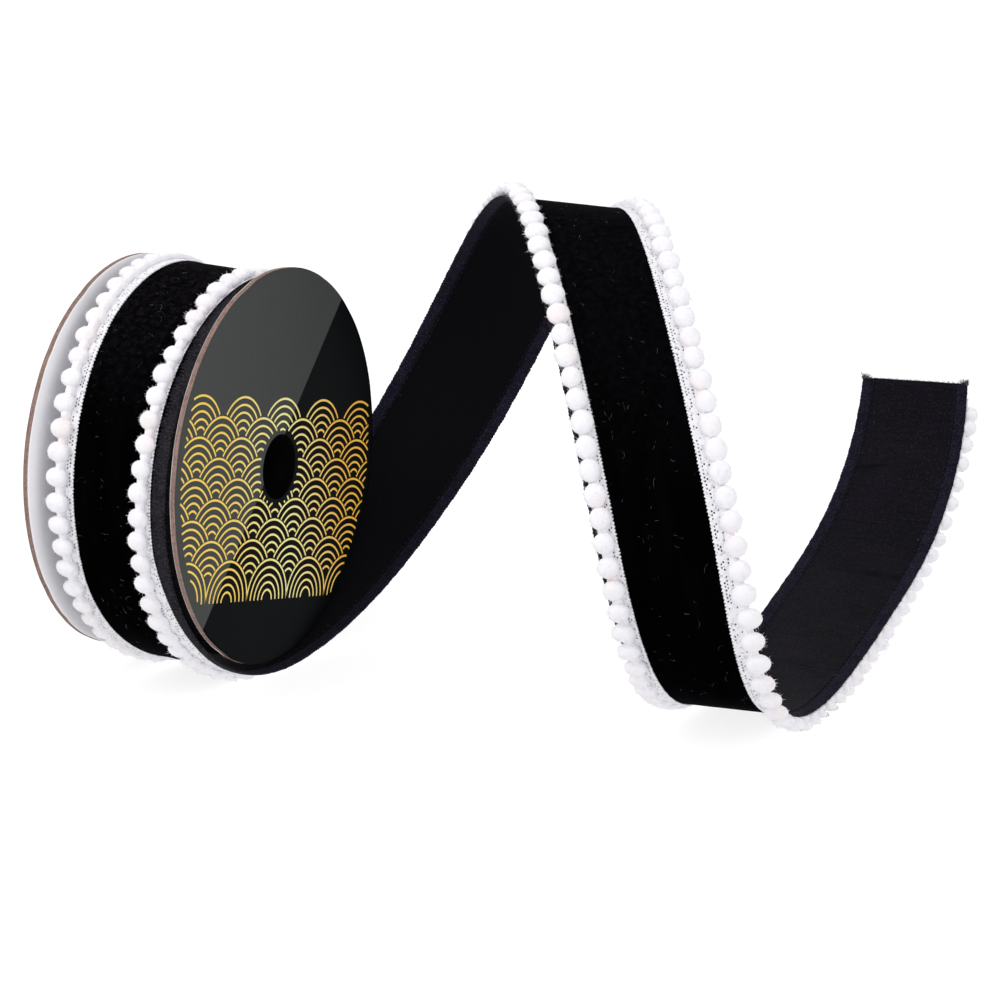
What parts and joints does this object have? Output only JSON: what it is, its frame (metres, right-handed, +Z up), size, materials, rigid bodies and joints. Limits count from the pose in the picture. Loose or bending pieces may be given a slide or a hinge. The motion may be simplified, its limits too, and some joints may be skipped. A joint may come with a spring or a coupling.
{
  "type": "pompom-trimmed ribbon on a spool",
  "caption": "Black velvet ribbon edged with white pompom trim, wound on a flanged cardboard spool, its loose end sprung out in one wide curl.",
  "frame": {"origin": "on the surface that the part rests on, under the middle of its bounding box", "axes": "+X along the spool's axis towards the printed flange, +Z up, -Y towards the side that the curl opens to"},
  "size_m": [0.288, 0.301, 0.1932],
  "materials": {
    "laminate": "glossy black laminated card with fine gold foil lines",
    "board": "matt white-faced board with a brown cut edge",
    "tube": "matt dark tube",
    "wound": "wound turns of velvet ribbon with white trim between them",
    "velvet": "black cut velvet with a satin back and overlocked hems",
    "yarn": "fluffy white cut yarn on an open tape"
  },
  "bodies": {
    "root": {"flange_right": "laminate", "flange_left": "board", "core": "tube", "wound_roll": "wound", "ribbon": "velvet", "trim_left_on_roll": "yarn", "trim_left_rest_roll": "yarn", "trim_left_curl": "yarn", "trim_left_rest_curl": "yarn", "trim_left_tail": "yarn", "trim_right_on_roll": "yarn", "trim_right_rest_roll": "yarn", "trim_right_curl": "yarn", "trim_right_rest_curl": "yarn", "trim_right_tail": "yarn"}
  },
  "joints": []
}
